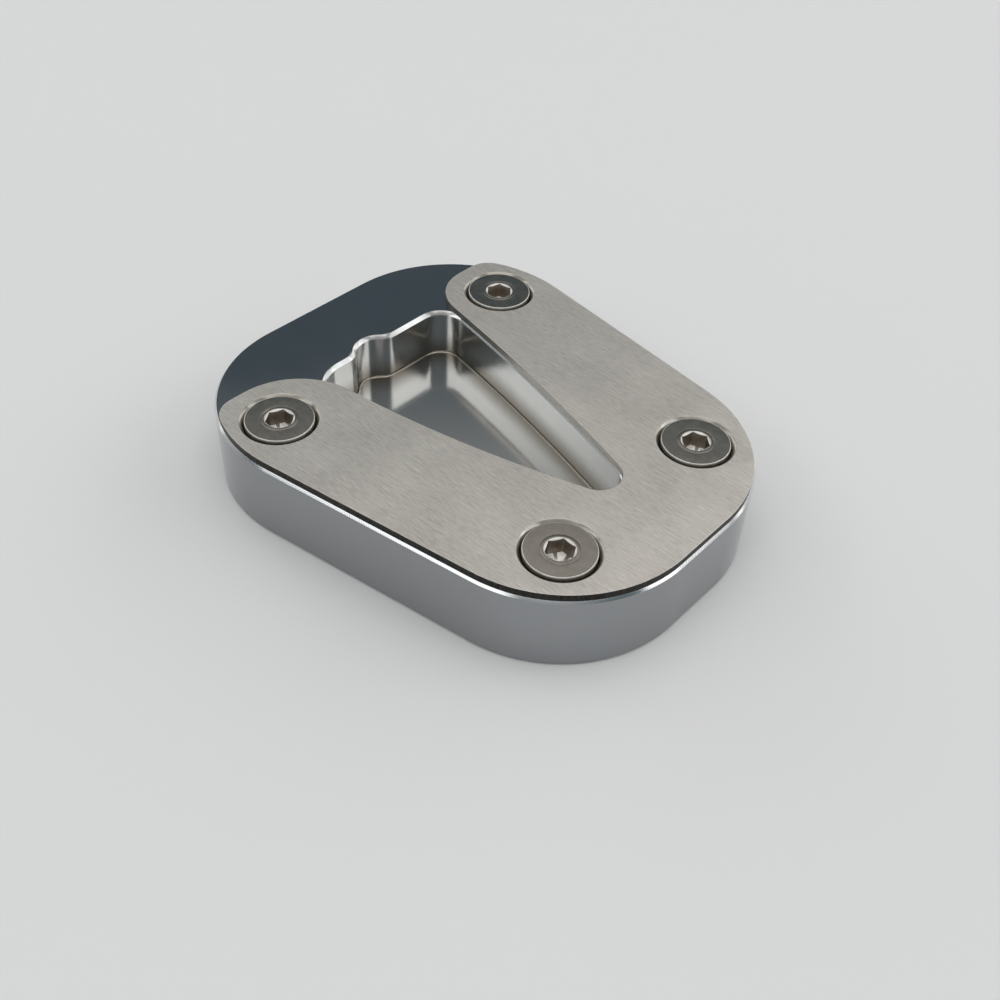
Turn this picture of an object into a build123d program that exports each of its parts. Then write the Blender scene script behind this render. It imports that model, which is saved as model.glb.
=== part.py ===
from build123d import *

import os
from math import radians, sqrt, tan

# A foot enlarger for the side stand of a motorbike.
# The stand's own foot drops into a vee-shaped pocket in a milled block, and a slotted plate
# reaches over one edge of the pocket, so that four countersunk screws hold the foot in.
# Sizes are in millimetres. X runs along the block to its narrow end, Z points up,
# and the origin is the middle of the underside.

# Block
base_length = 83.3
wide_width = 68.2
narrow_width = 57.4
wide_corner_radius = 23.2
narrow_corner_radius = 23.0
base_height = 13.3
top_edge_break = 0.35
bottom_edge_break = 0.5

# Vee, which the pocket and the slot in the plate share: its mouth lies between the tips of the arms
arm_setback = 11.3
apex_setback = 8.6
mouth_half_width = 17.2
wall_bow = 1.4

# Pocket, which is closed at its rear by a wall with a round lobe
pocket_setback = 15.3
pocket_depth = 8.5
pocket_tip_radius = 3.8
pocket_edge_break = 0.6
floor_corner_radius = 0.4
left_heel_radius = 6.5
right_heel_radius = 4.0
lobe_radius = 3.8
lobe_depth = 2.2
lobe_offset = -1.0
lobe_blend_radius = 3.6

# Plate, whose left arm reaches over the pocket
plate_thickness = 1.2
grip_overlap = 3.6
grip_bow = 2.7
slot_tip_radius = 3.85
arm_outer_radius = 4.5

# Rows of screws, placed from the ends and the sides of the block
wide_row_setback = 20.3
wide_row_inset = 8.8
narrow_row_setback = 13.7
narrow_row_inset = 12.35

# Screw, a countersunk M6 with a hex socket, and its hole
thread_diameter = 6.0
screw_length = 10.0
head_diameter = 10.9
head_land = 0.85
head_edge_break = 0.15
socket_width = 4.0
socket_depth = 2.7
socket_mouth_break = 0.05
socket_mouth_angle = 120.0
thread_tip_break = 0.7
countersink_diameter = 12.5
seat_clearance = 0.05
thread_clearance = 0.05
hole_tip_room = 0.8
drill_point_angle = 118.0
# How far each socket is turned, in the order of the screws: left of the wide row, left of the narrow row,
# right of the narrow row, right of the wide row
socket_turns = (5.0, 57.0, 17.0, 10.0)

wide_end = -base_length / 2
narrow_end = base_length / 2
arm_tip_x = wide_end + arm_setback
apex_x = narrow_end - apex_setback
wide_row_x = wide_end + wide_row_setback
narrow_row_x = narrow_end - narrow_row_setback
wide_row_y = wide_width / 2 - wide_row_inset
narrow_row_y = narrow_width / 2 - narrow_row_inset
plate_top = base_height + plate_thickness
grip_half_width = mouth_half_width - grip_overlap
wide_corner_x = wide_end + wide_corner_radius
wide_corner_y = wide_width / 2 - wide_corner_radius
narrow_corner_x = narrow_end - narrow_corner_radius
narrow_corner_y = narrow_width / 2 - narrow_corner_radius
screw_places = (
    (wide_row_x, -wide_row_y),
    (narrow_row_x, -narrow_row_y),
    (narrow_row_x, narrow_row_y),
    (wide_row_x, wide_row_y),
)


def rounded_outline(inset):
    """The outline seen from above: a belt drawn round four corner circles."""
    wide_corners = Locations((wide_corner_x, wide_corner_y), (wide_corner_x, -wide_corner_y))
    narrow_corners = Locations((narrow_corner_x, narrow_corner_y), (narrow_corner_x, -narrow_corner_y))
    circles = Sketch() + wide_corners * Circle(wide_corner_radius - inset)
    circles += narrow_corners * Circle(narrow_corner_radius - inset)
    return make_hull(circles.edges())


def vee(left_half_width, left_bow):
    """The vee from its mouth to its sharp apex: the right wall is shared, the left one is given."""
    right_wall = SagittaArc((apex_x, 0), (arm_tip_x, mouth_half_width), -wall_bow)
    mouth = Line((arm_tip_x, mouth_half_width), (arm_tip_x, -left_half_width))
    left_wall = SagittaArc((arm_tip_x, -left_half_width), (apex_x, 0), -left_bow)
    return make_face(right_wall + mouth + left_wall)


def blunt_apex(shape, radius):
    """Rounds the sharp end of a vee."""
    apex = shape.vertices().sort_by(Axis.X)[-1]
    return fillet(apex, radius)


def pocket_outline():
    """The pocket's wall: the vee, cut off at the heel, with a lobe in the middle of its rear wall."""
    rear_x = wide_end + pocket_setback
    ahead_of_heel = Pos(rear_x, 0) * Rectangle(base_length, wide_width, align=(Align.MIN, Align.CENTER))
    shape = blunt_apex(vee(mouth_half_width, wall_bow), pocket_tip_radius) & ahead_of_heel
    shape = fillet(shape.vertices().group_by(Axis.X)[0].sort_by(Axis.Y)[0], left_heel_radius)
    shape = fillet(shape.vertices().group_by(Axis.X)[0].sort_by(Axis.Y)[-1], right_heel_radius)
    shape += Pos(rear_x + lobe_radius - lobe_depth, lobe_offset) * Circle(lobe_radius)
    lobe_ends = shape.vertices().sort_by_distance((rear_x, lobe_offset, 0))[:2]
    return fillet(lobe_ends, lobe_blend_radius)


def plate_outline():
    """The U of the plate: the block's outline less the slot, with the end of each arm rounded."""
    inset_radius = wide_corner_radius - top_edge_break
    arm_outer_y = wide_corner_y + sqrt(inset_radius**2 - (arm_tip_x - wide_corner_x) ** 2)
    inner_room = arm_outer_y - arm_outer_radius
    ahead_of_tips = Pos(arm_tip_x, 0) * Rectangle(base_length, wide_width, align=(Align.MIN, Align.CENTER))
    shape = rounded_outline(top_edge_break) & ahead_of_tips
    shape -= blunt_apex(vee(grip_half_width, grip_bow), slot_tip_radius)
    arm_corners = shape.vertices().group_by(Axis.X)[0].sort_by(Axis.Y)
    shape = fillet([arm_corners[0], arm_corners[-1]], arm_outer_radius)
    left_inner_corner = shape.vertices().group_by(Axis.X)[0].sort_by(Axis.Y)[1]
    shape = fillet(left_inner_corner, inner_room - grip_half_width)
    right_inner_corner = shape.vertices().group_by(Axis.X)[0].sort_by(Axis.Y)[-2]
    return fillet(right_inner_corner, inner_room - mouth_half_width)


def screw_hole():
    """What one screw takes out of the plate and the block, with Z = 0 at the top of the plate."""
    mouth = countersink_diameter / 2
    bore = thread_diameter / 2 + thread_clearance
    head_sink = mouth - seat_clearance - head_diameter / 2 - head_land
    bottom = head_sink + screw_length + hole_tip_room
    point = bottom + bore / tan(radians(drill_point_angle / 2))
    above = plate_thickness
    profile = make_face(
        Polyline(
            (0, above),
            (mouth + above, above),
            (bore, bore - mouth),
            (bore, -bottom),
            (0, -point),
            close=True,
        )
    )
    return revolve(Plane.XZ * profile, Axis.Z)


def screw(turn):
    """One screw, driven until its head seats in the countersink, with Z = 0 at the top of the plate."""
    head = head_diameter / 2
    shank = thread_diameter / 2
    top = -(countersink_diameter / 2 - seat_clearance - head - head_land)
    seat = top - head_land
    tip = top - screw_length
    profile = make_face(
        Polyline(
            (0, top),
            (head - head_edge_break, top),
            (head, top - head_edge_break),
            (head, seat),
            (shank, seat - (head - shank)),
            (shank, tip + thread_tip_break),
            (shank - thread_tip_break, tip),
            (0, tip),
            close=True,
        )
    )
    body = revolve(Plane.XZ * profile, Axis.Z)
    hexagon = RegularPolygon(socket_width / 2, 6, major_radius=False, rotation=turn)
    body -= extrude(Pos(0, 0, top) * hexagon, -socket_depth)
    floor_depth = socket_width / 2 * tan(radians(90 - drill_point_angle / 2))
    floor_place = Pos(0, 0, top - socket_depth - floor_depth / 2) * Rot(180, 0, 0)
    body -= floor_place * Cone(socket_width / 2, 0, floor_depth)
    mouth = socket_width / sqrt(3) + socket_mouth_break
    mouth_depth = mouth / tan(radians(socket_mouth_angle / 2))
    mouth_place = Pos(0, 0, top - mouth_depth / 2) * Rot(180, 0, 0)
    body -= mouth_place * Cone(mouth, 0, mouth_depth)
    return body


def base_body():
    """The block: outline, broken edges, pocket with a rounded floor, and four tapped holes."""
    block = extrude(rounded_outline(0), base_height)
    block = chamfer(block.faces().sort_by(Axis.Z)[-1].edges(), top_edge_break)
    block = chamfer(block.faces().sort_by(Axis.Z)[0].edges(), bottom_edge_break)
    block -= extrude(Pos(0, 0, base_height) * pocket_outline(), -pocket_depth)
    deck = block.faces().filter_by(Axis.Z).sort_by(Axis.Z)[-1]
    block = chamfer(deck.inner_wires()[0].edges(), pocket_edge_break)
    floor = block.faces().filter_by(Axis.Z).sort_by(Axis.Z)[1]
    block = fillet(floor.edges(), floor_corner_radius)
    for place in screw_places:
        block -= Pos(*place, plate_top) * screw_hole()
    return block


def clamp_plate():
    """The plate, flat on the block, countersunk for the four screws."""
    plate = extrude(Pos(0, 0, base_height) * plate_outline(), plate_thickness)
    for place in screw_places:
        plate -= Pos(*place, plate_top) * screw_hole()
    return plate


def clamp_screws():
    """The four screws, each turned until it was tight."""
    screws = [Pos(*place, plate_top) * screw(turn) for place, turn in zip(screw_places, socket_turns)]
    return Compound(children=screws)


os.makedirs("parts", exist_ok=True)
export_step(base_body(), "parts/base_body.step")
export_step(clamp_plate(), "parts/clamp_plate.step")
export_step(clamp_screws(), "parts/clamp_screws.step")
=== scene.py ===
# %% [markdown]
# # A foot enlarger for the side stand of a motorbike
#
# The pad is clamped round the foot of a side stand, so that the stand doesn't sink into soft ground.
# It has three kinds of piece: a polished block with a vee-shaped pocket, a brushed plate that reaches over
# the pocket, and four countersunk screws. Their solids come from the CAD model. Everything below is made
# in that model's own frame, in metres, so a piece needs no fitting: it goes where the solid is.

# %% Load the solids
from math import cos, pi, radians, sin, sqrt, tan, tau

import bmesh
import bpy
from mathutils import Matrix, Vector


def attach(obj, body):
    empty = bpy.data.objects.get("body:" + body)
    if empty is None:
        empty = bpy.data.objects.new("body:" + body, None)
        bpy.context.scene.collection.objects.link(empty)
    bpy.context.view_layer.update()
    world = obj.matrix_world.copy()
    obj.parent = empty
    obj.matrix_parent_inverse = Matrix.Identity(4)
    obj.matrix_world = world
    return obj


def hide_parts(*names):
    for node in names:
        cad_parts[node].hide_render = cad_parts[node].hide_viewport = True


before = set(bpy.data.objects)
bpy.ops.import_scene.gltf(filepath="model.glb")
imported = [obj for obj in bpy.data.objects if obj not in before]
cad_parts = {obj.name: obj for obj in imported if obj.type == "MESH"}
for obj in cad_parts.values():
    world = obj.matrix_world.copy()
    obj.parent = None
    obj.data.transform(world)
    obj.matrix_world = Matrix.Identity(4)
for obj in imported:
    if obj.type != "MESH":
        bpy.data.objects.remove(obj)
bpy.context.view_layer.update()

MM = 0.001

# %% [markdown]
# ## Camera
#
# The picture was taken from above the front corner, with the long side running away to the left.
# The four screw holes are equal circles on one flat face, so their four ellipses give the lens, the distance
# and the slight roll. A camera could also be aimed with a Track To constraint, but a matrix made of its three
# own axes shows the roll plainly.

# %% Place the camera
camera_place = Vector((94.62, -109.73, 131.65)) * MM
camera_target = Vector((15.13, -14.71, 14.4)) * MM
camera_roll = radians(3.3)

backwards = (camera_place - camera_target).normalized()
level_right = Vector((0, 0, 1)).cross(backwards).normalized()
level_up = backwards.cross(level_right)
right = level_right * cos(camera_roll) + level_up * sin(camera_roll)
up = level_up * cos(camera_roll) - level_right * sin(camera_roll)
turn = Matrix((right, up, backwards)).transposed().to_4x4()

lens = bpy.data.cameras.new("camera")
lens.lens = 42.27
lens.sensor_width = 36.0
lens.clip_start = 0.01
camera = bpy.data.objects.new("camera", lens)
camera.matrix_world = Matrix.Translation(camera_place) @ turn
bpy.context.scene.collection.objects.link(camera)
bpy.context.scene.camera = camera
print("camera stands", round((camera_place - camera_target).length / MM), "mm from the plate")

# %% [markdown]
# ## Studio
#
# Polished metal shows what is round it more than its own colour. The room is a pale floor under a dim ceiling,
# with a lamp on each side for the chamfers, one for the wall of the pocket, a large one above for the brushed
# plate, and two broad, low ones behind. The lamps stand outside the directions that the flat faces mirror to the
# camera, so those faces stay dark. A picture of a real studio could light the part as well, but then no
# reflection could be moved by itself.
#
# Far from the object the floor turns into the tone of the horizon, so that a low view shows no edge between
# the floor and the room. That is a tree of nodes, and three short helpers keep this and the later trees readable.

# %% Lay the floor
bpy.context.scene.view_settings.view_transform = "Standard"

floor_size = 16.0
bpy.ops.mesh.primitive_plane_add(size=floor_size)
floor = bpy.context.object
floor.name = "floor"
paper = bpy.data.materials.new("pale_paper")
paper.use_nodes = True
sheet = paper.node_tree
paper_shader = sheet.nodes["Principled BSDF"]
paper_shader.inputs["Base Color"].default_value = (0.74, 0.74, 0.73, 1)
paper_shader.inputs["Roughness"].default_value = 0.9
paper_shader.inputs["Specular IOR Level"].default_value = 0.1
floor.data.materials.append(paper)
print("floor is", floor_size, "m wide")


# %% Add nodes in one line each
def add(tree, kind, inputs=None, **settings):
    """One node. An input is either a value or another node's output."""
    node = tree.nodes.new(kind)
    for key, value in settings.items():
        setattr(node, key, value)
    for key, value in (inputs or {}).items():
        if isinstance(value, bpy.types.NodeSocket):
            tree.links.new(value, node.inputs[key])
        else:
            node.inputs[key].default_value = value
    return node


def calculate(tree, operation, *values):
    """The result of one sum on values or outputs."""
    return add(tree, "ShaderNodeMath", dict(enumerate(values)), operation=operation).outputs[0]


def fade(tree, value, start, end):
    """Goes softly from 0 to 1 while a value goes from start to end."""
    limits = {"Value": value, "From Min": start, "From Max": end}
    return add(tree, "ShaderNodeMapRange", limits, interpolation_type="SMOOTHSTEP").outputs["Result"]


# %% Fade the floor into the room
horizon = (0.72, 0.72, 0.72, 1)
fade_start = 0.4
fade_end = 2.0

spot = add(sheet, "ShaderNodeNewGeometry").outputs["Position"]
away = add(sheet, "ShaderNodeVectorMath", {0: spot}, operation="LENGTH").outputs["Value"]
ray = add(sheet, "ShaderNodeLightPath").outputs
seen = ray["Is Camera Ray"]
for kind in ("Is Glossy Ray", "Is Transmission Ray"):
    seen = calculate(sheet, "MAXIMUM", seen, ray[kind])
share = calculate(sheet, "MULTIPLY", fade(sheet, away, fade_start, fade_end), seen)
glow = add(sheet, "ShaderNodeEmission", {"Color": horizon})
blend = add(sheet, "ShaderNodeMixShader", {0: share, 1: paper_shader.outputs[0], 2: glow.outputs[0]})
sheet.links.new(blend.outputs[0], sheet.nodes["Material Output"].inputs["Surface"])
print("floor fades from", fade_start, "to", fade_end, "m")


# %% Hang the lamps
def softbox(name, azimuth, elevation, distance, width, height, brightness):
    """A flat lamp that faces the object. Brightness 1 looks as bright as a lit white card."""
    side = radians(azimuth)
    rise = radians(elevation)
    towards = Vector((sin(side) * cos(rise), -cos(side) * cos(rise), sin(rise)))
    lamp = bpy.data.lights.new(name, "AREA")
    lamp.shape = "RECTANGLE"
    lamp.size = width
    lamp.size_y = height
    lamp.energy = brightness * pi * width * height
    holder = bpy.data.objects.new(name, lamp)
    holder.location = towards * distance
    holder.rotation_euler = towards.to_track_quat("Z", "Y").to_euler()
    holder.visible_camera = False
    bpy.context.scene.collection.objects.link(holder)


# Name, azimuth and elevation in degrees, distance, width and height in metres, and brightness
lamps = (
    ("left_box", -23, 38, 2.0, 2.1, 0.5, 1.5),
    ("pocket_box", -72, 37.3, 2.0, 1.0, 0.28, 1.6),
    ("right_box", 127, 33, 2.0, 1.45, 1.0, 1.5),
    ("ceiling_box", 40, 88, 2.0, 2.0, 2.0, 1.15),
    ("back_left_box", 266, 20, 2.2, 1.9, 0.9, 1.2),
    ("back_right_box", 168, 23, 2.2, 2.1, 1.0, 1.2),
)
for lamp in lamps:
    softbox(*lamp)
print("lamps:", [lamp[0] for lamp in lamps])

# %% Dim the ceiling
world = bpy.data.worlds.new("studio")
bpy.context.scene.world = world
world.use_nodes = True
room = world.node_tree
backdrop = room.nodes["Background"].inputs
backdrop["Strength"].default_value = 1.0

# Tones of the room by the sine of the elevation: a dark band half way up is what the flat faces mirror
overhead = (0.22, 0.22, 0.22, 1)
tones = {
    0.30: (0.45, 0.46, 0.47, 1),
    0.47: (0.12, 0.155, 0.175, 1),
    0.61: (0.12, 0.155, 0.175, 1),
    0.73: (0.68, 0.68, 0.68, 1),
}
direction = add(room, "ShaderNodeTexCoord").outputs["Generated"]
rise = add(room, "ShaderNodeSeparateXYZ", {"Vector": direction}).outputs["Z"]
shade = add(room, "ShaderNodeValToRGB", {"Fac": rise})
stops = shade.color_ramp.elements
stops[0].color = horizon
stops[1].color = overhead
for position, tone in tones.items():
    stops.new(position).color = tone
room.links.new(shade.outputs["Color"], backdrop["Color"])
print("the room has", len(stops), "tones from the horizon to overhead")

# %% [markdown]
# ## Soft edges
#
# No real edge is perfectly sharp. A deburred or polished one has a tiny round that catches a thin line of
# light, and without it metal looks like paper. A CAD solid has sharp edges, so each of its pieces is copied,
# its loose triangles are joined, flat pairs of them become quads, and a Bevel modifier rounds every sharp edge.
# Weighted Normal then keeps the large faces flat and the long curves even, because a mirror shows the smallest
# error in shading.

# %% Copy a solid and round its edges
merge_distance = 0.001 * MM
flat_angle = radians(0.1)
sharp_angle = radians(25)


def plain_mesh(piece):
    """Turns what the modifiers make into the piece's own mesh, and takes the modifiers off."""
    made = bpy.data.meshes.new_from_object(piece.evaluated_get(bpy.context.evaluated_depsgraph_get()))
    piece.modifiers.clear()
    piece.data = made


def softened_copy(node, name, edge_round):
    """A copy of a CAD solid with a small round on every sharp edge."""
    shape = bmesh.new()
    shape.from_mesh(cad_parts[node].data)
    bmesh.ops.remove_doubles(shape, verts=shape.verts, dist=merge_distance)
    bmesh.ops.join_triangles(
        shape, faces=shape.faces, angle_face_threshold=flat_angle, angle_shape_threshold=pi)
    mesh = bpy.data.meshes.new(name)
    shape.to_mesh(mesh)
    shape.free()
    if "custom_normal" in mesh.attributes:
        mesh.attributes.remove(mesh.attributes["custom_normal"])
    mesh.shade_smooth()
    piece = bpy.data.objects.new(name, mesh)
    bpy.context.scene.collection.objects.link(piece)
    bevel = piece.modifiers.new("edge round", "BEVEL")
    bevel.width = edge_round
    bevel.segments = 2
    bevel.limit_method = "ANGLE"
    bevel.angle_limit = sharp_angle
    piece.modifiers.new("flat faces", "WEIGHTED_NORMAL")
    plain_mesh(piece)
    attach(piece, "root")
    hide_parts(node)
    print(name, "has", len(piece.data.polygons), "faces")
    return piece


block = softened_copy("base_body", "block", 0.05 * MM)
plate = softened_copy("clamp_plate", "plate", 0.06 * MM)

# %% [markdown]
# ## Metals
#
# Every finish here is one bare metal whose tone, roughness or relief follows a pattern. Photographs of metal
# could give such patterns too, but noise costs nothing and has no seams. All patterns read Object coordinates,
# in metres, so they keep their real size and stay put on the piece. A few helpers do what every finish needs.

# %% Start a metal
noise_shift = (17.3, 9.6, 4.45)
noise_low = 0.3
noise_high = 0.7


def new_metal(name, colour, roughness):
    """A bare metal, its tree, the sockets of its shader, and its Object coordinates.

    The colour and the roughness are its mean ones, which a pattern may take over.
    """
    metal = bpy.data.materials.new(name)
    metal.use_nodes = True
    tree = metal.node_tree
    surface = tree.nodes["Principled BSDF"].inputs
    surface["Base Color"].default_value = (*colour, 1)
    surface["Metallic"].default_value = 1.0
    surface["Roughness"].default_value = roughness
    place = add(tree, "ShaderNodeTexCoord").outputs["Object"]
    print("finish:", name)
    return metal, tree, surface, place


def stretched_noise(tree, place, scale, detail):
    """Noise whose grains are longer along the axes with a small scale. Scale is in grains per metre."""
    mapping = add(tree, "ShaderNodeMapping", {"Vector": place, "Scale": scale, "Location": noise_shift})
    grains = {"Vector": mapping.outputs["Vector"], "Scale": 1.0, "Detail": detail}
    return add(tree, "ShaderNodeTexNoise", grains).outputs["Fac"]


def spread(tree, noise, low, high):
    """Spreads noise, which mostly stays near the middle of 0 to 1, over a range of values."""
    limits = {"From Min": noise_low, "From Max": noise_high, "To Min": low, "To Max": high}
    return add(tree, "ShaderNodeMapRange", {"Value": noise, **limits}).outputs["Result"]


# %% Colour, roughen and emboss a metal
def tint(tree, surface, factor, dark, light):
    """Colours the metal from dark to light while a factor goes from 0 to 1."""
    ends = {"Factor": factor, "A": (*dark, 1), "B": (*light, 1)}
    tone = add(tree, "ShaderNodeMix", ends, data_type="RGBA")
    tree.links.new(tone.outputs["Result"], surface["Base Color"])


def roughen(tree, surface, noise, low, high):
    """Lets the roughness follow a noise."""
    tree.links.new(spread(tree, noise, low, high), surface["Roughness"])


def emboss(tree, surface, pattern, strength, depth):
    """Raises the surface where a pattern is light. Depth is in metres."""
    bump = add(tree, "ShaderNodeBump", {"Height": pattern, "Strength": strength, "Distance": depth})
    tree.links.new(bump.outputs["Normal"], surface["Normal"])


# %% [markdown]
# ## Block
#
# The block is milled from aluminium and polished. Its deck and sides are nearly mirrors, with a faint haze from
# handling, and they are coloured darker than the same aluminium elsewhere, which is painted shade. The pocket was
# cut by an end mill: its side leaves fine upright marks on the walls, and its end leaves arcs on the floor. A
# polishing wheel can't reach far down, so the walls are duller towards the floor, and they are painted darker
# and browner there as painted shade of the corner at the floor. The outer chamfer was run round with a small
# cutter, whose separate cuts show as tiny ticks where the light falls off. The rim of the pocket was broken by
# hand, so it is duller and uneven. Such marks could be modelled, but they are far finer than a pixel, so bump and
# roughness are enough.

# %% Polish the deck and the sides
# Painted shade: the deck and sides are coloured darker and a little cooler than the same aluminium of the chamfer
# and the pocket
polished, tree, surface, place = new_metal("polished_aluminium", (0.34, 0.35, 0.365), 0.1)
haze = stretched_noise(tree, place, (70, 70, 70), 4)
roughen(tree, surface, haze, 0.07, 0.13)
grain = stretched_noise(tree, place, (150, 150, 9000), 2)
emboss(tree, surface, grain, 0.1, 0.02 * MM)

# %% Mill the walls of the pocket
floor_level = 4.8 * MM
# Painted shade: the walls of the pocket are coloured darker and browner from the floor up to this height
painted_shade_top = 9.8 * MM
milled, tree, surface, place = new_metal("milled_wall", (0.6, 0.59, 0.57), 0.22)
level = add(tree, "ShaderNodeSeparateXYZ", {"Vector": place}).outputs["Z"]
# 0 at the floor and 1 at the top of the painted shade: it darkens the wall's colour and makes its roughness
# duller
painted_shade_and_dulling = fade(tree, level, floor_level, painted_shade_top)
tint(tree, surface, painted_shade_and_dulling, (0.30, 0.27, 0.225), (0.74, 0.74, 0.72))
marks = stretched_noise(tree, place, (900, 900, 15), 2)
duller = add(tree, "ShaderNodeMapRange", {"Value": painted_shade_and_dulling, "To Min": 1.3, "To Max": 1.0}).outputs["Result"]
rough = calculate(tree, "MULTIPLY", spread(tree, marks, 0.17, 0.205), duller)
tree.links.new(rough, surface["Roughness"])
emboss(tree, surface, marks, 0.2, 0.006 * MM)

# %% Mill the floor of the pocket
sweep_behind = 60 * MM
arcs_per_metre = 420.0
swept, tree, surface, place = new_metal("milled_floor", (0.43, 0.425, 0.415), 0.12)
behind = add(tree, "ShaderNodeMapping", {"Vector": place, "Location": (sweep_behind, 0, 0)})
wave = {"Vector": behind.outputs["Vector"], "Scale": arcs_per_metre, "Distortion": 3.0}
arcs = add(tree, "ShaderNodeTexWave", wave, wave_type="RINGS", rings_direction="Z").outputs["Fac"]
roughen(tree, surface, arcs, 0.12, 0.14)
emboss(tree, surface, arcs, 0.3, 0.0002 * MM)

# %% Cut the outer chamfer
tick_length = 0.36 * MM
tick_delay = 4.0
ticked, tree, surface, place = new_metal("cut_chamfer", (0.68, 0.68, 0.68), 0.14)
axes = add(tree, "ShaderNodeSeparateXYZ", {"Vector": place}).outputs
along = calculate(tree, "ABSOLUTE", axes["X"])
across = calculate(tree, "ABSOLUTE", axes["Y"])
run = calculate(tree, "SUBTRACT", across, along)
turns = calculate(tree, "MULTIPLY", run, tau / tick_length)
uneven = stretched_noise(tree, place, (300, 300, 300), 2)
late = calculate(tree, "MULTIPLY_ADD", uneven, tick_delay, turns)
emboss(tree, surface, calculate(tree, "SINE", late), 1.0, 0.001 * MM)

# %% Break the rim of the pocket by hand
broken, tree, surface, place = new_metal("pocket_rim", (0.48, 0.48, 0.47), 0.2)
patches = stretched_noise(tree, place, (160, 160, 160), 2)
tint(tree, surface, spread(tree, patches, 0, 1), (0.36, 0.36, 0.355), (0.60, 0.60, 0.585))
roughen(tree, surface, patches, 0.25, 0.17)

# %% Give each face of the block its finish
pocket_low = Vector((-30, -18, 4)) * MM
pocket_high = Vector((28, 18, 12.6)) * MM
chamfer_level = 12 * MM
facing_up = 0.95
hardly_up = 0.3

finishes = [polished, milled, swept, ticked, broken]
for metal in finishes:
    block.data.materials.append(metal)
for face in block.data.polygons:
    within = [low < at < high for low, at, high in zip(pocket_low, face.center, pocket_high)]
    finish = polished
    if all(within):
        finish = swept if face.normal.z > facing_up else milled
    elif hardly_up < face.normal.z < facing_up and face.center.z > chamfer_level:
        finish = broken if within[0] and within[1] else ticked
    face.material_index = finishes.index(finish)
print("block finishes:", [metal.name for metal in block.data.materials])

# %% [markdown]
# ## Plate
#
# The plate is stainless sheet, brushed along its length and cut out with a laser. Brushing leaves fine
# hairlines, so light spreads across them and hardly along them: the shader's Anisotropic value does that, with
# the tangent turned across the hairlines. Noise that is stretched along the plate gives the hairlines and short
# scratches that can be seen one by one, and faint clouds come from handling. The cut edge is dull and dark, with
# upright marks. Inside the slot, where the stand's foot goes in, the edge is filed bright, and towards the tips
# of the arms it fades into painted shade.

# %% Brush the plate
scratch_share = 0.6
cloud_share = 0.22
brushed, tree, surface, place = new_metal("brushed_stainless", (0.67, 0.63, 0.57), 0.42)
hairlines = stretched_noise(tree, place, (110, 6000, 110), 2)
scratches = stretched_noise(tree, place, (650, 5200, 650), 3)
clouds = stretched_noise(tree, place, (110, 110, 110), 4)
mixed = {"Factor": scratch_share, "A": hairlines, "B": scratches}
brushing = add(tree, "ShaderNodeMix", mixed).outputs["Result"]
mixed = {"Factor": cloud_share, "A": brushing, "B": clouds}
handled = add(tree, "ShaderNodeMix", mixed).outputs["Result"]
tint(tree, surface, spread(tree, handled, 0, 1), (0.46, 0.43, 0.39), (0.93, 0.88, 0.80))
roughen(tree, surface, brushing, 0.44, 0.34)
across_plate = add(tree, "ShaderNodeTangent", direction_type="RADIAL", axis="X")
tree.links.new(across_plate.outputs["Tangent"], surface["Tangent"])
surface["Anisotropic"].default_value = 0.75
emboss(tree, surface, hairlines, 0.4, 0.004 * MM)

# %% Darken the laser-cut edge
laser_cut, tree, surface, place = new_metal("laser_cut_edge", (0.10, 0.097, 0.095), 0.42)
burnt = stretched_noise(tree, place, (6500, 6500, 500), 2)
tint(tree, surface, spread(tree, burnt, 0, 1), (0.014, 0.0135, 0.013), (0.055, 0.052, 0.049))
emboss(tree, surface, burnt, 0.4, 0.02 * MM)

# %% File the slot's edge
slot_mouth = -28.0
# Painted shade on the slot's edge ends here; from here to the tips of the arms the edge is painted darker
painted_shade_end = -14.0
filed, tree, surface, place = new_metal("filed_edge", (0.6, 0.57, 0.52), 0.36)
along = add(tree, "ShaderNodeSeparateXYZ", {"Vector": place}).outputs["X"]
# Painted shade: the filed edge is dark at the tips of the arms and turns to the filed colour further in
painted_shade_fade = fade(tree, along, slot_mouth * MM, painted_shade_end * MM)
tint(tree, surface, painted_shade_fade, (0.034, 0.033, 0.031), (0.6, 0.57, 0.52))
strokes = stretched_noise(tree, place, (400, 400, 7000), 2)
roughen(tree, surface, strokes, 0.28, 0.44)
emboss(tree, surface, strokes, 0.3, 0.006 * MM)

# %% Turn the countersinks
turned, tree, surface, place = new_metal("turned_countersink", (0.32, 0.30, 0.265), 0.22)
rings = stretched_noise(tree, place, (60, 60, 9000), 2)
roughen(tree, surface, rings, 0.17, 0.27)
emboss(tree, surface, rings, 0.3, 0.004 * MM)

# %% Give each face of the plate its finish
wide_row = (-21.35, 25.3)
narrow_row = (27.95, 16.35)
hole_radius = 6.3
slot_end = narrow_row[0] + hole_radius
slot_half_width = 18.0
edge_on = 0.4

finishes = [brushed, laser_cut, filed, turned]
for metal in finishes:
    plate.data.materials.append(metal)
for face in plate.data.polygons:
    x, y = face.center.x / MM, abs(face.center.y) / MM
    row = wide_row if x < 0 else narrow_row
    from_screw = Vector((x - row[0], y - row[1])).length
    in_slot = slot_mouth < x < slot_end and y < slot_half_width
    finish = brushed
    if from_screw < hole_radius and face.normal.z < facing_up:
        finish = turned
    elif face.normal.z < edge_on:
        finish = filed if in_slot else laser_cut
    face.material_index = finishes.index(finish)
print("plate finishes:", [metal.name for metal in plate.data.materials])

# %% [markdown]
# ## Screw
#
# The four screws are alike: M6, 10 mm long, with a flat countersunk head and a hex socket. A lathe makes such a
# head, so the mesh is made of rings as well, from the middle of the socket over the head and down the thread to
# the tip. Inside the socket a ring follows a hexagon, and on the thread its radius follows a helix. Each ring is
# joined to the next by a band of faces, which gives one closed skin. A solid with its socket cut out by a
# Boolean modifier would do too, but it leaves long thin faces that shade badly.

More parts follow.
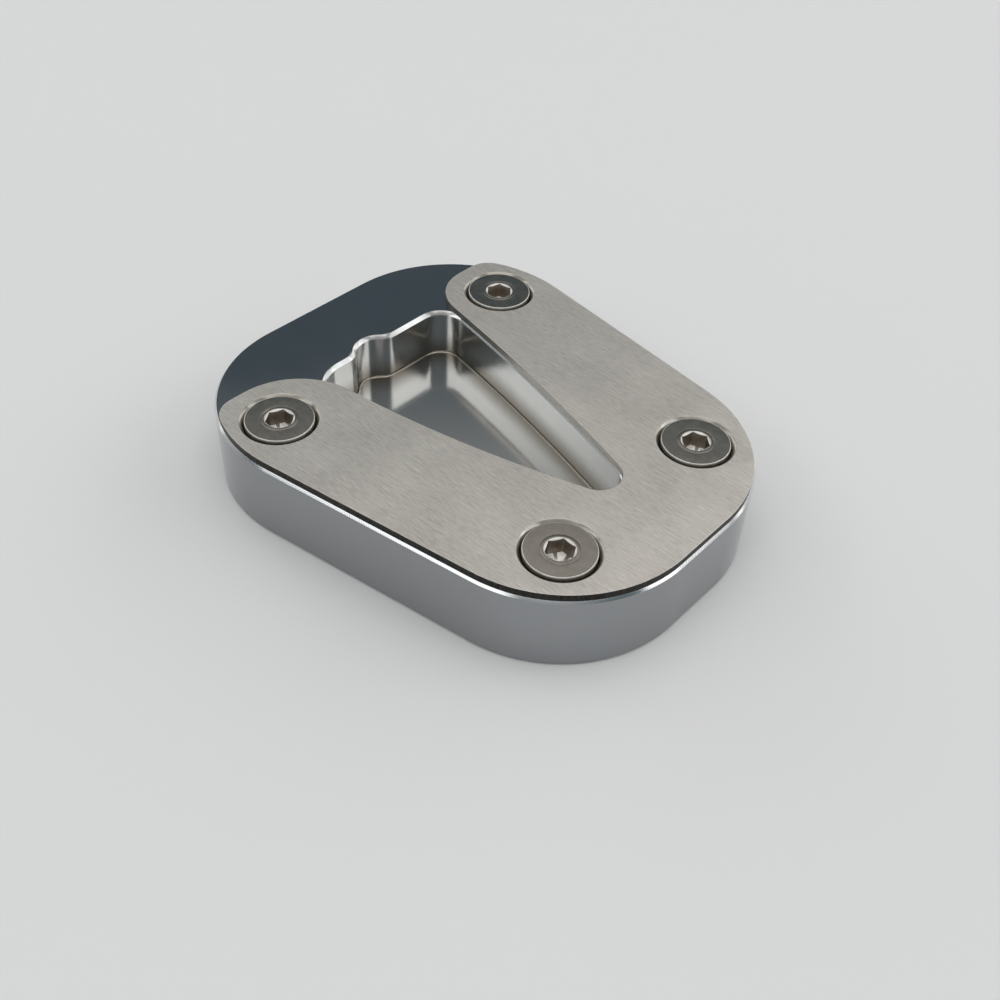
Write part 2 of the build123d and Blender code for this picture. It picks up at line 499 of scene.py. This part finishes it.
# %% Measure the screw, in millimetres
ring_points = 96
head_radius = 5.45
head_round = 0.15
head_round_steps = 4
head_land = 0.85
turned_ring = ((2.85, 0), (2.9, 0.015), (3.05, 0.015), (3.1, 0))
socket_half_width = 2.0
socket_depth = 2.7
socket_floor_depth = 1.2
socket_floor_corner = (0.03, 0.05)
mouth_break = 0.05
mouth_radius = socket_half_width * 2 / sqrt(3) + mouth_break
mouth_slope = tan(radians(30))
mouth_edge = 0.02
shank_radius = 3.0
thread_depth = 0.61
thread_pitch = 1.0
thread_steps = 8
half_crest = 0.0625
thread_flank = 0.3125
screw_length = 10.0
tip_chamfer = 0.7
print("screw: head", 2 * head_radius, "mm wide, thread", 2 * shank_radius, "mm wide,", screw_length, "mm long")


# %% Draw the rings of one screw
def hexagon(angle):
    """How far the socket's wall is from the axis, in the direction of an angle. A corner points along X."""
    return socket_half_width / cos((angle % (tau / 6)) - tau / 12)


def thread(angle, depth, start, end):
    """The radius of the thread at an angle and a depth, running out at both ends."""
    turn = (depth / thread_pitch - angle / tau) % 1
    groove = min(1, max(0, (abs(turn - 0.5) - half_crest) / thread_flank))
    run_out = min(1, max(0, depth - start), max(0, end - depth))
    return shank_radius - thread_depth * groove * run_out


def screw_rings():
    """Rings of (radius, depth) for each angle, from the socket's floor over the head to the tip."""
    angles = [tau * step / ring_points for step in range(ring_points)]
    sides = [hexagon(angle) for angle in angles]
    mouth = [(mouth_radius - side) * mouth_slope for side in sides]
    corner_in, corner_up = socket_floor_corner
    neck = head_land + head_radius - shank_radius
    end = screw_length - tip_chamfer
    steps = int((end - neck) / thread_pitch * thread_steps)
    rings = []

    def circle(zone, radius, depth):
        rings.append((zone, [(radius, depth)] * ring_points))

    circle("floor", socket_half_width * 0.5, socket_depth + socket_floor_depth * 0.5)
    circle("floor", socket_half_width, socket_depth)
    rings.append(("floor", [(side - corner_in, socket_depth) for side in sides]))
    rings.append(("wall", [(side, socket_depth - corner_up) for side in sides]))
    rings.append(("wall", [(side, depth + mouth_edge) for side, depth in zip(sides, mouth)]))
    rings.append(("rim", [(side + mouth_edge, depth - mouth_edge * mouth_slope)
                          for side, depth in zip(sides, mouth)]))
    circle("rim", mouth_radius - mouth_edge / 2, mouth_edge / 2 * mouth_slope)
    circle("rim", mouth_radius + mouth_edge, 0)
    for radius, depth in (*turned_ring, (head_radius - head_round, 0)):
        circle("face", radius, depth)
    for step in range(1, head_round_steps + 1):
        lean = pi / 2 * step / head_round_steps
        circle("rim", head_radius - head_round * (1 - sin(lean)), head_round * (1 - cos(lean)))
    circle("rim", head_radius, head_land)
    circle("rim", shank_radius, neck)
    for step in range(1, steps + 1):
        depth = neck + (end - neck) * step / steps
        rings.append(("rim", [(thread(angle, depth, neck, end), depth) for angle in angles]))
    circle("rim", shank_radius - tip_chamfer, screw_length)
    return rings


print("one screw is made of", len(screw_rings()), "rings")

# %% Skin the rings
# Each face stores a value that lies inside its zone's step, and a step ends where the next one starts
zones = {"face": 0.1, "rim": 0.35, "wall": 0.6, "floor": 0.85}
zone_starts = {"rim": 0.25, "wall": 0.5, "floor": 0.75}


def screw_mesh():
    """One screw with its head at the origin and its axis along Z. Each face knows its zone."""
    shape = bmesh.new()
    zone_of = shape.faces.layers.float.new("zone")
    from_axis = shape.verts.layers.float.new("from_axis")
    rows = []
    for zone, ring in screw_rings():
        row = []
        for step, (radius, depth) in enumerate(ring):
            angle = tau * step / ring_points
            point = shape.verts.new(Vector((radius * cos(angle), radius * sin(angle), -depth)) * MM)
            point[from_axis] = radius
            row.append(point)
        rows.append((zone, row))
    for (_, inner), (zone, outer) in zip(rows, rows[1:]):
        for step in range(ring_points):
            after = (step + 1) % ring_points
            band = shape.faces.new((inner[step], inner[after], outer[after], outer[step]))
            band[zone_of] = zones[zone]
    deepest = shape.verts.new(Vector((0, 0, -socket_depth - socket_floor_depth)) * MM)
    first = rows[0][1]
    for step in range(ring_points):
        shape.faces.new((deepest, first[(step + 1) % ring_points], first[step]))[zone_of] = zones["floor"]
    shape.faces.new(rows[-1][1])[zone_of] = zones["rim"]
    bmesh.ops.recalc_face_normals(shape, faces=shape.faces)
    mesh = bpy.data.meshes.new("screw")
    shape.to_mesh(mesh)
    shape.free()
    mesh.shade_smooth()
    return mesh


one_screw = bpy.data.objects.new("one_screw", screw_mesh())
bpy.context.scene.collection.objects.link(one_screw)
one_screw.modifiers.new("flat faces", "WEIGHTED_NORMAL")
plain_mesh(one_screw)
print("one screw has", len(one_screw.data.polygons), "faces")

# %% [markdown]
# ## Screw steel
#
# The heads are faced on a lathe, which leaves rings finer than a hair, and the sockets are pressed, so they
# are rougher. The socket's walls are darker and browner, which is partly an oil stain and partly a painted
# reflection, and the socket's floor is painted light, as a highlight. The rings follow each screw's own axis and
# not the whole object, so the pattern reads the distance that was stored on the mesh. Four materials would do
# for the four zones of a screw, but one that reads the stored zone keeps the screws in one piece.

# %% Face the heads
rings_per_mm = 14.0
steel, tree, surface, place = new_metal("screw_steel", (0.38, 0.345, 0.30), 0.25)


def by_zone(label, face, rim, wall, floor):
    """A colour, or a level written as a grey, for each zone of the screw."""
    zone = add(tree, "ShaderNodeAttribute", attribute_name="zone").outputs["Fac"]
    steps = add(tree, "ShaderNodeValToRGB", {"Fac": zone}, label=label)
    steps.color_ramp.interpolation = "CONSTANT"
    stops = steps.color_ramp.elements
    stops[0].color = (*face, 1)
    stops[1].position = zone_starts["floor"]
    stops[1].color = (*floor, 1)
    stops.new(zone_starts["rim"]).color = (*rim, 1)
    stops.new(zone_starts["wall"]).color = (*wall, 1)
    return steps.outputs["Color"]


# Painted light: the socket's floor is coloured far lighter than the face, as a highlight, and its walls darker
# and browner, partly oil stain and partly painted reflection
colour = by_zone(
    "colour", face=(0.38, 0.345, 0.30), rim=(0.66, 0.64, 0.60), wall=(0.34, 0.30, 0.25), floor=(0.80, 0.78, 0.75))
rough = by_zone("roughness", face=(0.17,) * 3, rim=(0.45,) * 3, wall=(0.36,) * 3, floor=(0.5,) * 3)

# %% Wear the steel
radius = add(tree, "ShaderNodeAttribute", attribute_name="from_axis").outputs["Fac"]
turning = {"W": radius, "Scale": rings_per_mm, "Detail": 3.0}
rings = add(tree, "ShaderNodeTexNoise", turning, noise_dimensions="1D").outputs["Fac"]
smudge = stretched_noise(tree, place, (900, 900, 900), 3)
wear = calculate(tree, "MULTIPLY", calculate(tree, "ADD", rings, smudge), 0.5)
toned = {0: colour, "Scale": spread(tree, wear, 0.78, 1.12)}
worn = add(tree, "ShaderNodeVectorMath", toned, operation="SCALE")
tree.links.new(worn.outputs["Vector"], surface["Base Color"])
uneven = calculate(tree, "MULTIPLY", rough, spread(tree, wear, 0.8, 1.2))
tree.links.new(uneven, surface["Roughness"])
emboss(tree, surface, wear, 0.2, 0.004 * MM)
print("steel has", len(tree.nodes), "nodes")

# %% [markdown]
# ## Four screws
#
# What repeats is made with Geometry Nodes. The tree draws one line across the block for each row of screws, puts
# a screw on both ends of it, and turns each screw by its own angle, because a screw stops where it is tight.
# The angles are inputs of the tree, one for each screw. Copies would also do, but with the tree a row is moved
# by changing one number.


# %% Build the tree
def screw_tree():
    """A tree that sets the screw on the ends of two rows."""
    tree = bpy.data.node_groups.new("screw_rows", "GeometryNodeTree")
    tree.interface.new_socket("Screw", in_out="INPUT", socket_type="NodeSocketObject")
    tree.interface.new_socket("Finish", in_out="INPUT", socket_type="NodeSocketMaterial")
    for name in ("Wide row start", "Wide row end", "Narrow row start", "Narrow row end"):
        tree.interface.new_socket(name, in_out="INPUT", socket_type="NodeSocketVector")
    for name in ("Turn 1", "Turn 2", "Turn 3", "Turn 4"):
        tree.interface.new_socket(name, in_out="INPUT", socket_type="NodeSocketFloat")
    tree.interface.new_socket("Screws", in_out="OUTPUT", socket_type="NodeSocketGeometry")
    given = add(tree, "NodeGroupInput").outputs
    rows = []
    for row in ("Wide row", "Narrow row"):
        ends = {"Count": 2, "Start Location": given[row + " start"], "Offset": given[row + " end"]}
        rows.append(add(tree, "GeometryNodeMeshLine", ends, mode="END_POINTS").outputs["Mesh"])
    places = add(tree, "GeometryNodeJoinGeometry")
    for row in reversed(rows):
        tree.links.new(row, places.inputs["Geometry"])
    which = add(tree, "GeometryNodeInputIndex")
    turn = add(tree, "GeometryNodeIndexSwitch", data_type="FLOAT")
    turn.index_switch_items.new()
    turn.index_switch_items.new()
    tree.links.new(which.outputs["Index"], turn.inputs["Index"])
    for step in range(4):
        tree.links.new(given[f"Turn {step + 1}"], turn.inputs[step + 1])
    angles = add(tree, "ShaderNodeCombineXYZ", {"Z": turn.outputs["Output"]})
    rotation = add(tree, "FunctionNodeEulerToRotation", {"Euler": angles.outputs["Vector"]})
    screw = add(tree, "GeometryNodeObjectInfo", {"Object": given["Screw"]})
    set_on = add(tree, "GeometryNodeInstanceOnPoints",
                 {"Points": places.outputs["Geometry"], "Instance": screw.outputs["Geometry"],
                  "Rotation": rotation.outputs["Rotation"]})
    real = add(tree, "GeometryNodeRealizeInstances", {"Geometry": set_on.outputs["Instances"]})
    finish = add(tree, "GeometryNodeSetMaterial",
                 {"Geometry": real.outputs["Geometry"], "Material": given["Finish"]})
    add(tree, "NodeGroupOutput", {"Screws": finish.outputs["Geometry"]})
    return tree


# %% Set the four screws
plate_top = 14.5
head_rise = 0.1
screw_level = plate_top + head_rise
screw_turns = (5, 10, 57, 17)

settings = {"Screw": one_screw, "Finish": steel}
for name, (x, y) in (("Wide row", wide_row), ("Narrow row", narrow_row)):
    settings[name + " start"] = Vector((x, -y, screw_level)) * MM
    settings[name + " end"] = Vector((x, y, screw_level)) * MM
for step, degrees in enumerate(screw_turns, start=1):
    settings[f"Turn {step}"] = radians(degrees)

screws = bpy.data.objects.new("screws", bpy.data.meshes.new("screws"))
bpy.context.scene.collection.objects.link(screws)
rows = screws.modifiers.new("rows", "NODES")
rows.node_group = screw_tree()
for socket in rows.node_group.interface.items_tree:
    if socket.in_out == "INPUT":
        rows[socket.identifier] = settings[socket.name]
plain_mesh(screws)
bpy.data.objects.remove(one_screw)
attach(screws, "root")
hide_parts("clamp_screws")
print("four screws have", len(screws.data.polygons), "faces")
